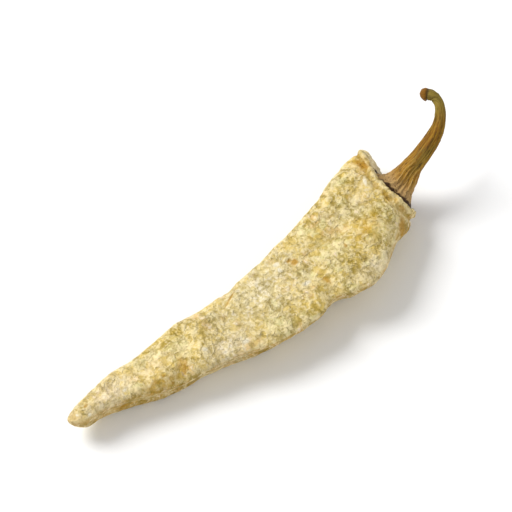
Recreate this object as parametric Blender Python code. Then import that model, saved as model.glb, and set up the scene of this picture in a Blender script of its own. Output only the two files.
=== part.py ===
"""A dried curd chili pepper, lying on its flat side: a pod, its calyx and its stem.

Lengths are in millimetres until MM turns them into metres. X runs along the pod from its tip to
its stem, Y runs across it, and Z is up from the surface that the pod lies on.
"""

import math

import bpy
import numpy as np
from mathutils import Matrix, Vector, noise

MM = 0.001

# Each row is one section across the pod, from the tip to the floor of the seat that the calyx sits
# in: x, far edge y, near edge y, lowest z, z of the widest line, highest z, fullness above and below
# that line, share of the skin's relief. A fullness of 2 is an ellipse, and more is boxier. A lowest
# z under 0 is cut level, which makes the flat spot that the pod rests on.
POD_SECTIONS = (
    (0.00, -0.45, -0.45, 4.00, 4.00, 4.00, 2.0, 2.0, 0.0),
    (0.25, 0.15, -1.10, 3.30, 4.00, 4.75, 2.0, 2.0, 0.2),
    (1.20, 0.75, -1.95, 2.50, 3.80, 5.35, 2.0, 2.1, 0.6),
    (3.50, 1.50, -2.60, 1.65, 3.40, 5.90, 2.1, 2.2, 1.0),
    (8.00, 2.05, -3.15, 0.80, 2.90, 6.30, 2.2, 2.4, 1.0),
    (12.0, 2.40, -4.30, 0.30, 2.60, 6.50, 2.2, 2.5, 1.0),
    (16.0, 2.30, -6.25, 0.00, 2.90, 6.40, 2.2, 2.4, 1.0),
    (20.0, 2.00, -7.45, -0.20, 3.90, 6.60, 2.2, 2.3, 1.0),
    (25.0, 1.70, -8.40, -0.50, 5.20, 7.10, 2.2, 2.0, 1.0),
    (30.0, 1.00, -10.15, -0.70, 5.80, 7.60, 2.2, 1.9, 1.0),
    (35.0, 0.50, -11.75, -0.75, 6.10, 7.90, 2.2, 1.9, 1.0),
    (40.0, 0.65, -12.75, -0.75, 6.30, 8.10, 2.2, 1.9, 1.0),
    (44.0, 1.15, -13.00, -0.75, 6.50, 8.30, 2.2, 1.9, 1.0),
    (48.0, 1.60, -12.00, -0.75, 6.80, 8.60, 2.2, 1.9, 1.0),
    (52.0, 2.20, -13.75, -0.65, 7.20, 9.00, 2.2, 1.9, 1.0),
    (56.0, 3.45, -14.00, -0.45, 7.50, 9.40, 2.2, 2.0, 1.0),
    (60.0, 5.05, -11.75, -0.20, 7.50, 9.80, 2.2, 2.1, 1.0),
    (63.5, 6.05, -9.85, 0.10, 7.00, 10.1, 2.2, 2.2, 1.0),
    (66.0, 6.80, -9.35, 0.40, 6.00, 10.3, 2.2, 2.2, 1.0),
    (67.4, 7.05, -8.20, 0.65, 5.40, 10.2, 2.2, 2.2, 1.0),
    (68.1, 6.95, -7.80, 0.90, 5.20, 9.90, 2.1, 2.1, 1.0),
    (68.7, 7.10, -7.75, 0.80, 5.20, 10.0, 2.1, 2.1, 1.0),
    (69.2, 6.75, -7.45, 1.05, 5.20, 9.70, 2.1, 2.1, 0.6),
    (69.4, 5.80, -7.25, 1.40, 5.20, 9.30, 2.0, 2.0, 0.1),
    (69.1, 3.70, -7.12, 1.65, 5.20, 9.10, 2.0, 2.0, 0.0),
    (68.4, 2.60, -7.05, 1.75, 5.20, 8.95, 2.0, 2.0, 0.0),
    (67.2, 2.15, -6.75, 2.05, 5.20, 8.65, 2.0, 2.0, 0.0),
    (66.3, 0.20, -5.00, 3.40, 5.20, 7.20, 2.0, 2.0, 0.0),
    (66.1, -2.35, -2.35, 5.20, 5.20, 5.20, 2.0, 2.0, 0.0),
)
FLAT_SPOT_HEIGHT = 0.0

# The rim leans back towards the tip, and more so above its middle: the slope of the whole rim, the
# extra slope, and where along the pod the lean sets in
RIM_LEAN = 0.35
RIM_CURL = 0.15
LEAN_X = (54.0, 67.0)

# The far shoulder stands out past the rest of the rim: how far, and between which x and y it grows
KNUCKLE = 1.2
KNUCKLE_X = (62.0, 68.5)
KNUCKLE_Y = (0.0, 5.0)

POD_SEGMENTS = 64
POD_RINGS = 74

# Which way each side of the pod faces: the axis and sign of its normal, and the axis that a
# crease's second number is measured on.
SIDES = {
    "top": (2, 1, 1),
    "under": (2, -1, 1),
    "near": (1, -1, 2),
    "far": (1, 1, 2),
}

# Folds of the shrunken skin: side, width, depth and the line that the fold runs along, as
# (x, y) on the top and the underside and (x, z) on the two flanks. A negative depth is a ridge.
CREASES = (
    # The bend where the broad face narrows into the tail
    ("top", 1.2, 0.45, ((24.8, -1.6), (23.4, -3.2), (21.2, -4.9), (19.3, -7.0))),
    ("top", 1.7, -0.35, ((27.6, -2.2), (26.0, -4.2), (23.4, -6.4))),
    # A short pleat by the far edge
    ("top", 0.8, 0.35, ((35.4, 0.2), (32.4, -1.7), (31.0, -3.4))),
    # The hollow that crosses the broad face to the notch in its near edge
    ("top", 1.6, 0.45, ((46.4, -2.4), (47.6, -6.3), (48.6, -9.2), (48.0, -11.2))),
    ("top", 1.1, 0.40, ((45.8, -2.6), (47.0, -3.1))),
    ("top", 2.2, -0.30, ((52.5, -9.5), (54.5, -5.0))),
    # The broad face is dished between its edges
    ("top", 3.2, 0.40, ((31.0, -4.4), (43.0, -5.6))),
    ("top", 3.4, 0.45, ((52.0, -3.4), (61.5, -1.8))),
    # The knuckle beside the rim
    ("top", 1.0, 0.60, ((66.4, 5.0), (67.3, 3.2))),
    # The edge between the tail's face and its flank
    ("top", 1.1, -0.35, ((2.0, -1.2), (6.7, -2.0), (12.5, -3.5), (17.5, -5.2))),
    ("top", 1.3, 0.25, ((5.0, 0.2), (11.0, -0.6), (16.5, -1.7))),
    # Long folds along the flanks
    ("near", 1.2, 0.55, ((5.0, 3.4), (11.0, 2.8), (17.0, 2.6), (23.0, 3.0))),
    ("near", 1.4, 0.70, ((27.0, 4.2), (34.0, 3.8), (42.0, 3.6), (46.5, 4.2))),
    ("near", 1.3, 0.55, ((50.0, 4.6), (55.0, 3.6), (61.0, 3.3))),
    ("near", 1.3, 0.45, ((47.6, 7.2), (48.4, 5.2), (49.6, 2.6))),
    ("far", 1.2, 0.55, ((9.0, 3.1), (17.0, 3.3), (25.0, 3.8))),
    ("far", 1.4, 0.75, ((29.0, 3.1), (38.0, 3.4), (47.0, 4.4), (55.0, 4.8))),
    ("far", 1.3, 0.50, ((58.0, 3.6), (63.0, 4.3), (66.5, 4.9))),
    ("far", 1.2, 0.40, ((55.0, 7.4), (59.0, 7.8), (63.5, 7.4))),
    # The underside draws up behind the rim and towards the tip
    ("under", 1.6, 0.60, ((4.0, -0.8), (11.0, -1.2), (19.0, -2.0))),
    ("under", 1.6, 0.70, ((56.0, -1.5), (61.0, -2.2), (66.0, -2.0))),
    ("under", 1.4, 0.50, ((55.0, -7.5), (60.0, -6.6), (65.0, -5.4))),
    ("under", 1.4, 0.50, ((55.0, 2.6), (60.5, 3.2), (65.0, 2.6))),
)
CREASE_LIP = 0.35
CREASE_LIP_AT = 1.9

# Unevenness of the whole skin: wavelength along the pod, wavelength across it, height
LUMPS = (
    (11.0, 5.0, 0.42),
    (5.0, 3.2, 0.26),
)
WRINKLES = (7.0, 2.4, 0.34)
UNDERSIDE_SHARE = 0.3
SKIN_SEED = Vector((3.7, 11.3, 5.9))

# Pleats that the rolled rim is gathered into
RIM_PLEATS = 13
RIM_PLEAT_DEPTH = 0.22
RIM_X = (67.2, 68.4)

# Each row is one ring of the calyx, from its underside to the collar that carries the stem:
# x, y and z of its centre, tilt in degrees, half width, half height
CALYX_RINGS = (
    (66.50, -2.35, 5.20, 19.0, 0.00, 0.00),
    (66.55, -2.35, 5.20, 19.0, 1.60, 1.15),
    (66.90, -2.35, 5.20, 19.0, 3.15, 2.30),
    (67.80, -2.35, 5.20, 19.0, 4.00, 2.90),
    (68.60, -2.35, 5.20, 19.0, 4.30, 3.15),
    (69.05, -2.33, 5.24, 19.0, 4.20, 3.10),
    (69.45, -2.28, 5.34, 20.0, 3.75, 2.88),
    (69.90, -2.20, 5.49, 22.0, 3.15, 2.60),
    (70.40, -2.10, 5.70, 26.0, 2.68, 2.36),
    (70.95, -2.01, 5.95, 32.0, 2.34, 2.18),
    (71.38, -1.94, 6.20, 36.0, 2.14, 2.06),
    (71.46, -1.93, 6.26, 36.0, 1.88, 1.83),
    (71.48, -1.92, 6.27, 36.0, 0.00, 0.00),
)
CALYX_SEGMENTS = 40
CALYX_ROWS = 26
CALYX_RIM = 4.30
CALYX_TEETH = 5
CALYX_TOOTH_REACH = 0.02
CALYX_TOOTH_CURL = 0.16
CALYX_RIB_DEPTH = 0.05

# The stem's route from the calyx's collar to its broken end: x, y, z, radius
STEM_ROUTE = (
    (71.83, -1.90, 6.53, 2.02),
    (72.45, -1.84, 6.98, 1.86),
    (73.20, -1.78, 7.60, 1.68),
    (74.60, -1.78, 8.80, 1.50),
    (76.70, -1.55, 10.20, 1.38),
    (78.55, -1.20, 11.50, 1.19),
    (80.20, -0.50, 12.70, 1.00),
    (81.45, 0.55, 13.70, 0.85),
    (82.20, 1.80, 14.40, 0.79),
    (82.30, 3.10, 14.70, 0.84),
    (81.80, 4.15, 14.70, 0.98),
    (80.95, 4.72, 14.47, 1.10),
    (80.60, 4.86, 14.36, 0.85),
)
STEM_POINTS = 44
STEM_RIBS = 5
STEM_SIDES = 20
STEM_RIB_DEPTH = 0.10
STEM_TWIST = math.radians(70)

# Finish of each piece: colour in linear light, roughness
POD_FINISH = ((0.70, 0.55, 0.26), 0.62)
CALYX_FINISH = ((0.26, 0.21, 0.075), 0.80)
STEM_FINISH = ((0.27, 0.16, 0.045), 0.74)


def empty_scene():
    """Removes every object that the file opened with."""
    for thing in list(bpy.data.objects):
        bpy.data.objects.remove(thing)


def own_collection(name, shown=True):
    """A new collection in the scene, drawn in renders only if it is shown."""
    made = bpy.data.collections.new(name)
    made.hide_render = not shown
    bpy.context.scene.collection.children.link(made)
    return made


def move_to(thing, home):
    """Puts the object in this collection and in no other."""
    for other in list(thing.users_collection):
        other.objects.unlink(thing)
    home.objects.link(thing)


def give_finish(thing, finish):
    """A Principled material of one colour and roughness, named for its piece."""
    colour, roughness = finish
    material = bpy.data.materials.new(thing.name)
    material.use_nodes = True
    shader = material.node_tree.nodes["Principled BSDF"]
    shader.inputs["Base Color"].default_value = (*colour, 1.0)
    shader.inputs["Roughness"].default_value = roughness
    shader.inputs["Metallic"].default_value = 0.0
    thing.data.materials.clear()
    thing.data.materials.append(material)


def smooth_through(rows):
    """A function of 0 to 1 that runs smoothly through the rows, slowly where they are close."""
    rows = np.array(rows, float)
    steps = np.linalg.norm(np.diff(rows, axis=0), axis=1) ** 0.5
    knots = np.concatenate([[0.0], np.cumsum(steps)]) / steps.sum()
    slopes = np.gradient(rows, knots, axis=0)

    def at(along):
        before = int(np.searchsorted(knots, along, side="right")) - 1
        before = min(before, len(knots) - 2)
        span = knots[before + 1] - knots[before]
        t = (along - knots[before]) / span
        return (
            (2 * t**3 - 3 * t**2 + 1) * rows[before]
            + (t**3 - 2 * t**2 + t) * span * slopes[before]
            + (3 * t**2 - 2 * t**3) * rows[before + 1]
            + (t**3 - t**2) * span * slopes[before + 1]
        )

    return at


def smooth_step(low, high, value):
    """0 below low, 1 above high, and an S-shaped rise between."""
    share = min(1.0, max(0.0, (value - low) / (high - low)))
    return share * share * (3.0 - 2.0 * share)


def signed_power(value, power):
    return math.copysign(abs(value) ** power, value)


def shaped_sphere(name, segments, rings, point_at):
    """A UV sphere whose vertices move to point_at(along, turn), with along from 0 to 1."""
    bpy.ops.mesh.primitive_uv_sphere_add(segments=segments, ring_count=rings, radius=1.0)
    piece = bpy.context.object
    piece.name = name
    piece.data.name = name
    for vertex in piece.data.vertices:
        along = math.acos(min(1.0, max(-1.0, -vertex.co.z))) / math.pi
        turn = math.atan2(vertex.co.y, vertex.co.x)
        vertex.co = Vector(point_at(along, turn)) * MM
    piece.data.shade_smooth()
    return piece


def distance_to_line(spot, line):
    """Shortest distance from a flat point to a line of two or more points."""
    nearest = math.inf
    for start, end in zip(line, line[1:]):
        start, end = Vector(start), Vector(end)
        run = end - start
        share = min(1.0, max(0.0, (spot - start).dot(run) / run.length_squared))
        nearest = min(nearest, (spot - start - run * share).length)
    return nearest


def crease_depth(spot, normal):
    """How far the folds pull the skin in at this place: each is a valley with a low lip."""
    depth = 0.0
    for side, width, deep, line in CREASES:
        axis, sign, measured = SIDES[side]
        facing = smooth_step(0.05, 0.65, sign * normal[axis])
        if facing == 0.0:
            continue
        away = distance_to_line(Vector((spot[0], spot[measured])), line) / width
        lip = CREASE_LIP * math.exp(-((away - CREASE_LIP_AT) ** 2) * 2.0)
        depth += facing * deep * (math.exp(-away * away) - lip)
    return depth


def lump_height(spot):
    """Uneven swelling and fine lengthwise wrinkles of the skin, from smooth noise."""
    height = 0.0
    for along, across, tall in LUMPS:
        place = Vector((spot[0] / along, spot[1] / across, spot[2] / across))
        height += tall * noise.noise(place + SKIN_SEED)
    along, across, tall = WRINKLES
    place = Vector((spot[0] / along, spot[1] / across, spot[2] / across))
    return height - tall * abs(noise.noise(place - SKIN_SEED))


def pod_point(section_at, along, turn):
    """A point of the pod's skin, with its folds, rim and flat spot."""
    x, far, near, bottom, edge, top, above, below, relief = section_at(along)
    upper = turn > 0.0
    fullness = above if upper else below
    rise = max(0.0, top - edge if upper else edge - bottom)
    reach = max(0.0, (far - near) / 2)
    across = signed_power(math.cos(turn), 2.0 / fullness)
    height = signed_power(math.sin(turn), 2.0 / fullness)
    spot = Vector((x, (far + near) / 2 + across * reach, edge + height * rise))
    out_y = signed_power(math.cos(turn), 2.0 - 2.0 / fullness) / max(reach, 0.1)
    out_z = signed_power(math.sin(turn), 2.0 - 2.0 / fullness) / max(rise, 0.1)
    normal = Vector((0.0, out_y, out_z)).normalized()
    pleat = RIM_PLEAT_DEPTH * smooth_step(*RIM_X, x) * math.cos(RIM_PLEATS * turn)
    share = relief * (1.0 - (1.0 - UNDERSIDE_SHARE) * smooth_step(0.3, 0.9, -normal.z))
    spot += normal * share * (lump_height(spot) - crease_depth(spot, normal) + pleat)
    lift = spot.z - edge
    lean = RIM_LEAN * lift + RIM_CURL * (math.hypot(lift, 1.0) - 1.0)
    spot.x -= smooth_step(*LEAN_X, x) * lean
    spot.x += smooth_step(*KNUCKLE_X, x) * smooth_step(*KNUCKLE_Y, spot.y) * KNUCKLE
    spot.z = max(spot.z, FLAT_SPOT_HEIGHT)
    return spot


def build_pod():
    section_at = smooth_through(POD_SECTIONS)
    pod = shaped_sphere(
        "pod", POD_SEGMENTS, POD_RINGS, lambda along, turn: pod_point(section_at, along, turn)
    )
    give_finish(pod, POD_FINISH)
    return pod


def calyx_point(ring_at, along, turn):
    """A point of the calyx: a toothed cup below, and a ribbed collar above."""
    x, y, z, tilt, half_width, half_height = ring_at(along)
    rim = smooth_step(0.72, 1.0, half_width / CALYX_RIM)
    tooth = math.cos(CALYX_TEETH * turn)
    collar = smooth_step(69.6, 71.0, x)
    swell = 1.0 + rim * CALYX_TOOTH_REACH * tooth
    swell += collar * CALYX_RIB_DEPTH * math.cos(STEM_RIBS * turn)
    around = Vector(
        (
            rim * CALYX_TOOTH_CURL * tooth,
            half_width * math.cos(turn) * swell,
            half_height * math.sin(turn) * swell,
        )
    )
    return Vector((x, y, z)) + Matrix.Rotation(-math.radians(tilt), 3, "Y") @ around


def build_calyx():
    ring_at = smooth_through(CALYX_RINGS)
    calyx = shaped_sphere(
        "calyx", CALYX_SEGMENTS, CALYX_ROWS, lambda along, turn: calyx_point(ring_at, along, turn)
    )
    give_finish(calyx, CALYX_FINISH)
    return calyx


def rib_outline(home):
    """The stem's section as a guide curve of radius 1: a circle with shallow ribs."""
    outline = bpy.data.curves.new("stem_section", "CURVE")
    outline.dimensions = "2D"
    line = outline.splines.new("POLY")
    line.points.add(STEM_SIDES - 1)
    for number, point in enumerate(line.points):
        turn = -2.0 * math.pi * number / STEM_SIDES
        radius = (1.0 + STEM_RIB_DEPTH * math.cos(STEM_RIBS * turn)) * MM
        point.co = (radius * math.cos(turn), radius * math.sin(turn), 0.0, 1.0)
    line.use_cyclic_u = True
    guide = bpy.data.objects.new("stem_section", outline)
    guide.hide_render = True
    guide.display_type = "WIRE"
    home.objects.link(guide)
    return guide


def build_stem(guides):
    """A ribbed rod along the stem's route, widest at its foot and hooked at its broken end."""
    route = bpy.data.curves.new("stem", "CURVE")
    route.dimensions = "3D"
    route.twist_mode = "MINIMUM"
    route.bevel_mode = "OBJECT"
    route.bevel_object = rib_outline(guides)
    route.use_fill_caps = True
    place_at = smooth_through(STEM_ROUTE)
    line = route.splines.new("POLY")
    line.points.add(STEM_POINTS - 1)
    for number, point in enumerate(line.points):
        along = number / (STEM_POINTS - 1)
        x, y, z, radius = place_at(along)
        point.co = (x * MM, y * MM, z * MM, 1.0)
        point.radius = radius
        point.tilt = STEM_TWIST * along
    stem = bpy.data.objects.new("stem", route)
    bpy.context.scene.collection.objects.link(stem)
    give_finish(stem, STEM_FINISH)
    return stem


def centre_on_origin(pieces):
    """Slides the pieces together, so that the box round them stands on the origin."""
    bpy.context.view_layer.update()
    graph = bpy.context.evaluated_depsgraph_get()
    corners = []
    for piece in pieces:
        shown = piece.evaluated_get(graph)
        mesh = shown.to_mesh()
        corners += [shown.matrix_world @ vertex.co for vertex in mesh.vertices]
        shown.to_mesh_clear()
    low = Vector(map(min, zip(*corners)))
    high = Vector(map(max, zip(*corners)))
    shift = Vector((-(low.x + high.x) / 2, -(low.y + high.y) / 2, -low.z))
    for piece in pieces:
        piece.location += shift


def build_chili():
    empty_scene()
    chili = own_collection("curd_chili_pepper")
    guides = own_collection("guides", shown=False)
    pieces = [build_pod(), build_calyx(), build_stem(guides)]
    for piece in pieces:
        move_to(piece, chili)
    centre_on_origin(pieces)
    print("built", ", ".join(piece.name for piece in pieces))


build_chili()
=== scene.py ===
# %% [markdown]
# # A dried curd chili pepper
#
# Curd chilis are steeped in salted curd and dried in the sun. What is left is a flattened, crinkled,
# straw-coloured pod, a small woody calyx sunk in its rolled rim, and a hooked stem.
#
# Three solids with the right size and place are loaded first: the pod, the calyx and the stem. They
# could be coloured and rendered as they are. Each is dressed with a finer piece instead, because
# the solids have only the large folds, and most of the chili's looks are in the small ones.

# %% Load the solids
import math
from types import SimpleNamespace

import bpy
import numpy as np
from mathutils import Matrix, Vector, noise
from mathutils.kdtree import KDTree


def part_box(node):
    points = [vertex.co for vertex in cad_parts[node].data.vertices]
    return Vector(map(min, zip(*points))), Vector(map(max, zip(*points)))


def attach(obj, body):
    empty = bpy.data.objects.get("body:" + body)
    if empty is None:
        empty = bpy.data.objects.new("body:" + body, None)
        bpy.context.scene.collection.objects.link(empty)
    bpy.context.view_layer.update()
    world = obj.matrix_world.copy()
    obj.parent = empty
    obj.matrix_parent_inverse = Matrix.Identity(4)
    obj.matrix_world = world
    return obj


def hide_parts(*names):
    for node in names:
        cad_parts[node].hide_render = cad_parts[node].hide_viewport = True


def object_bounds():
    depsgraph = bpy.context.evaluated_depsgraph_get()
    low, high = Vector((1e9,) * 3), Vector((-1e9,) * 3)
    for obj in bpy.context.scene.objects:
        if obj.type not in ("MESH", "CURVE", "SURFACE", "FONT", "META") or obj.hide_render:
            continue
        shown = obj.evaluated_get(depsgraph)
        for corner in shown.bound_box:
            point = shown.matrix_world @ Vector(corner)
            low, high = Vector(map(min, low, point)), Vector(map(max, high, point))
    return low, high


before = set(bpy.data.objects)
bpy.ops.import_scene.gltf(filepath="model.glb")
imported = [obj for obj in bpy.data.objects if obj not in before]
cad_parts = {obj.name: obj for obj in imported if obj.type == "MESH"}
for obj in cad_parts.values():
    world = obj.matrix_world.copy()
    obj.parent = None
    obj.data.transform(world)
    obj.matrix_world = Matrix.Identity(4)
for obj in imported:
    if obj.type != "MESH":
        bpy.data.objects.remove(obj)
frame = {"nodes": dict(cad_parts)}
cad_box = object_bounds()

MM = 0.001
pod_low, pod_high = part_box("pod")
pod_corners = [vertex.co for vertex in frame["nodes"]["pod"].data.vertices]
tip_point = min(pod_corners, key=lambda place: place.x).copy()
print("nodes:", ", ".join(frame["nodes"]))
print("pod is", round((pod_high.x - pod_low.x) / MM, 1), "mm long")


# %% [markdown]
# ## The camera
#
# The photograph looks down on the chili at 60 degrees, from a little to the left of its side. A
# camera could be turned by hand until it looks right. Here its three directions are worked out from
# the two angles instead, so that the same numbers also tell where the light comes from. The lens is
# long, as for a product photograph, so the near end doesn't look larger than the far one.

# %% Set up the camera
VIEW_AZIMUTH = math.radians(-40.4)
VIEW_ELEVATION = math.radians(60.0)
CAMERA_DISTANCE = 2.0
PICTURE_WIDTH = 84.0 * MM
SENSOR = 36.0
# How far the middle of the picture lies from the pod's tip, across and up
TIP_TO_MIDDLE = (31.0 * MM, 27.64 * MM)

across_view = Vector((math.cos(VIEW_AZIMUTH), math.sin(VIEW_AZIMUTH), 0.0))
back = Vector(
    (
        math.sin(VIEW_AZIMUTH) * math.cos(VIEW_ELEVATION),
        -math.cos(VIEW_AZIMUTH) * math.cos(VIEW_ELEVATION),
        math.sin(VIEW_ELEVATION),
    )
)
up_view = back.cross(across_view)


def aim(thing, place, towards):
    """Puts a camera or a lamp at a place and points it at another."""
    thing.location = place
    thing.rotation_euler = (Vector(towards) - Vector(place)).to_track_quat("-Z", "Y").to_euler()


centre = (cad_box[0] + cad_box[1]) / 2
look_at = tip_point + across_view * TIP_TO_MIDDLE[0] + up_view * TIP_TO_MIDDLE[1]
look_at = look_at + back * (centre - look_at).dot(back)
bpy.ops.object.camera_add()
camera = bpy.context.object
camera.data.sensor_width = SENSOR
camera.data.lens = SENSOR * CAMERA_DISTANCE / PICTURE_WIDTH
aim(camera, look_at + back * CAMERA_DISTANCE, look_at)
bpy.context.scene.camera = camera
print("lens", round(camera.data.lens), "mm")


# %% [markdown]
# ## The studio
#
# The photograph has a white ground and soft light from the upper left. A sky picture could light the
# chili, or a ring of lamps. One large lamp is enough to shape it, with a weaker one to open the
# shadows and a pale even sky for the rest, and each can be changed without the others.
#
# The floor is a plane that is almost white. A curved backdrop would do as well, but nothing shows of
# it from above.

# %% Lay the floor
FLOOR_SIZE = 12.0
FLOOR_COLOUR = (0.97, 0.97, 0.97)
FLOOR_ROUGHNESS = 0.9


def plain_material(name, colour, roughness):
    """A Principled material of one colour."""
    material = bpy.data.materials.new(name)
    material.use_nodes = True
    shader = material.node_tree.nodes["Principled BSDF"]
    shader.inputs["Base Color"].default_value = (*colour, 1.0)
    shader.inputs["Roughness"].default_value = roughness
    return material


bpy.ops.mesh.primitive_plane_add(size=FLOOR_SIZE, location=(0.0, 0.0, cad_box[0].z))
floor = bpy.context.object
floor.name = "floor"
floor.data.materials.append(plain_material("white card", FLOOR_COLOUR, FLOOR_ROUGHNESS))
print("floor is", FLOOR_SIZE, "m wide")

# %% Hang the lamps
KEY = {"towards": back * 0.45 - across_view * 0.62 + up_view * 0.64, "size": 2.6, "watts": 228.0}
FILL = {"towards": back * 0.80 + across_view * 0.75 - up_view * 0.15, "size": 4.5, "watts": 42.0}
LAMP_DISTANCE = 5.0


def hang_lamp(name, towards, size, watts):
    """A soft square lamp that shines on the chili from the given direction."""
    bpy.ops.object.light_add(type="AREA")
    lamp = bpy.context.object
    lamp.name = name
    lamp.data.size = size
    lamp.data.energy = watts
    lamp.visible_camera = False
    aim(lamp, centre + Vector(towards).normalized() * LAMP_DISTANCE, centre)
    print(name, "has", watts, "W")


hang_lamp("key lamp", **KEY)
hang_lamp("fill lamp", **FILL)

# %% Colour the sky
SKY_COLOUR = (1.0, 1.0, 1.0)
SKY_STRENGTH = 0.5

sky = bpy.data.worlds.new("pale sky")
sky.use_nodes = True
sky.node_tree.nodes["Background"].inputs["Color"].default_value = (*SKY_COLOUR, 1.0)
sky.node_tree.nodes["Background"].inputs["Strength"].default_value = SKY_STRENGTH
bpy.context.scene.world = sky
bpy.context.scene.view_settings.view_transform = "Standard"


# %% [markdown]
# ## The skin of the pod
#
# The skin of a curd chili is thin, dry and drawn down over what has shrunk inside it. The solid has
# its large folds, but its faces are about a millimetre wide, too coarse for a crinkle.
#
# The skin could be sculpted by hand over the solid, or the solid's faces could be divided where they
# are. A copy of the solid is remeshed instead: its triangles are merged, Subdivision Surface rounds
# them off, and Remesh cuts the skin into even squares a fifth of a millimetre wide. So Displace has
# enough points everywhere, the rim's inside included, and the result is the same each time.

# %% Tools for working on one object
NEARLY_TOUCHING = 0.001 * MM


def deselect_all():
    """Nothing stays selected, so that an operator acts on one piece alone."""
    for thing in bpy.context.selected_objects:
        thing.select_set(False)


def work_on(piece):
    """Selects one piece and makes it the active one."""
    deselect_all()
    piece.select_set(True)
    bpy.context.view_layer.objects.active = piece


def edit_all(piece):
    """Opens a piece in Edit Mode with everything selected."""
    work_on(piece)
    bpy.ops.object.mode_set(mode="EDIT")
    bpy.ops.mesh.select_all(action="SELECT")


def copy_of_node(node, name):
    """A copy of a solid's mesh, with its loose triangles merged, as an object of its own."""
    piece = bpy.data.objects.new(name, frame["nodes"][node].data.copy())
    piece.data.name = name
    piece.data.materials.clear()
    bpy.context.scene.collection.objects.link(piece)
    edit_all(piece)
    bpy.ops.mesh.remove_doubles(threshold=NEARLY_TOUCHING)
    bpy.ops.object.mode_set(mode="OBJECT")
    return piece


def apply_modifier(piece, kind, **settings):
    """Adds a modifier, sets it and applies it."""
    work_on(piece)
    modifier = piece.modifiers.new(kind.lower(), kind)
    for name, value in settings.items():
        setattr(modifier, name, value)
    bpy.ops.object.modifier_apply(modifier=modifier.name)


# %% Remesh the pod
QUAD_ANGLE = math.radians(60.0)
SKIN_GRID = 0.19 * MM

skin = copy_of_node("pod", "pod_skin")
edit_all(skin)
bpy.ops.mesh.tris_convert_to_quads(face_threshold=QUAD_ANGLE, shape_threshold=QUAD_ANGLE)
bpy.ops.object.mode_set(mode="OBJECT")
apply_modifier(skin, "SUBSURF", levels=2, render_levels=2)
apply_modifier(skin, "REMESH", mode="VOXEL", voxel_size=SKIN_GRID)
apply_modifier(skin, "SMOOTH", iterations=4, factor=0.5)
print("skin has", len(skin.data.vertices), "points")


# %% [markdown]
# ## The crinkles
#
# A drying skin shrinks over flesh that shrinks less evenly, so it puckers at every size: shallow
# dents about five millimetres across, flat-sided facets like those of crumpled paper, and a fine
# pucker on those.
#
# One busy noise could make them all, but it looks like sponge: the facets need straight creases and
# the dents don't. So each is a Displace modifier with a texture of its own. The facets come from a
# cell pattern measured in city blocks, which has straight creases.

# %% Tools for shaping a skin
def texture(name, kind, size, **settings):
    """A procedural texture whose pattern has the given size."""
    made = bpy.data.textures.new(name, kind)
    made.noise_scale = size
    for setting, value in settings.items():
        setattr(made, setting, value)
    return made


def read_rows(piece, what="co"):
    """The places of all points as rows of an array, or with "normal" the ways they face."""
    flat = np.empty(len(piece.data.vertices) * 3, dtype=np.float32)
    piece.data.vertices.foreach_get(what, flat)
    return flat.reshape(-1, 3).astype(float)


def write_points(piece, points):
    """Moves all points to the given places."""
    piece.data.vertices.foreach_set("co", points.astype(np.float32).ravel())
    piece.data.update()


# %% Press in the dents and raise the crinkles
FACETED = {"distance_metric": "MANHATTAN", "weight_1": 1.0, "noise_intensity": 1.0}
# Each row is one layer: name, kind, size and height in mm, the level that stays put, other settings
CRINKLES = (
    ("dents", "CLOUDS", 5.0, 0.28, 0.5, {"noise_depth": 1}),
    ("wide facets", "VORONOI", 3.1, 0.16, 0.5, FACETED),
    ("small facets", "VORONOI", 1.5, -0.20, 0.5, FACETED),
    ("crumples", "CLOUDS", 1.2, -0.16, 0.36, {"noise_depth": 3, "noise_type": "HARD_NOISE"}),
)

smooth_points = read_rows(skin)
smooth_normals = read_rows(skin, "normal")
for name, kind, size, height, middle, settings in CRINKLES:
    pattern = texture(name, kind, size * MM, **settings)
    apply_modifier(skin, "DISPLACE", texture=pattern, strength=height * MM, mid_level=middle)
moved = np.linalg.norm(read_rows(skin) - smooth_points, axis=1) / MM
print("the crinkles move the skin by up to", moved.max().round(2), "mm")


# %% [markdown]
# ## The rim
#
# The mouth of the pod is rolled outwards into a thin bead around the calyx, with a shallow groove
# behind it and small pleats across it. The roll is too narrow for the solid, so it is made here.
#
# A ring of its own could be laid on the mouth, but it would show a seam, and on the real chili the
# bead is the same skin. So the skin itself is pushed out and in. The highest point of the mouth is
# found in each of 96 directions around the seat. Those points are the crest, and the distance from
# it says where the bead rises and where the groove dips. The same step draws the skin tight over the
# pod's long edges, where the photograph shows a clean line.

# %% Find the crest of the mouth
# The place that the seat, the calyx and the stem are measured from lies this far beside the tip
TIP_ASIDE = 0.45 * MM
SEAT_MIDDLE = (-2.3 * MM, 5.2 * MM)
SEAT_DEPTH = 4.0
RIM_BINS = 96

part_zero = Vector((tip_point.x, tip_point.y + TIP_ASIDE, 0.0))
shape = smooth_points - np.array(part_zero)
beside, above = shape[:, 1] - SEAT_MIDDLE[0], shape[:, 2] - SEAT_MIDDLE[1]
turn = np.arctan2(above, beside)
reach = np.hypot(above, beside)
bins = ((turn + math.pi) / (2 * math.pi) * RIM_BINS).astype(int) % RIM_BINS
rows_in_bins = [np.flatnonzero(bins == number) for number in range(RIM_BINS)]
crests = [rows[np.argmax(shape[rows, 0])] for rows in rows_in_bins]
bin_turns = -math.pi + (np.arange(RIM_BINS) + 0.5) * 2 * math.pi / RIM_BINS
crest_x = np.interp(turn, bin_turns, shape[crests, 0], period=2 * math.pi)
crest_reach = np.interp(turn, bin_turns, reach[crests], period=2 * math.pi)
from_crest = (crest_x - shape[:, 0]) / MM
in_seat = (reach < crest_reach) & (from_crest < SEAT_DEPTH)
from_crest = np.where(in_seat, -from_crest, from_crest)
print(int(in_seat.sum()), "points of the skin lie in the seat")

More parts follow.
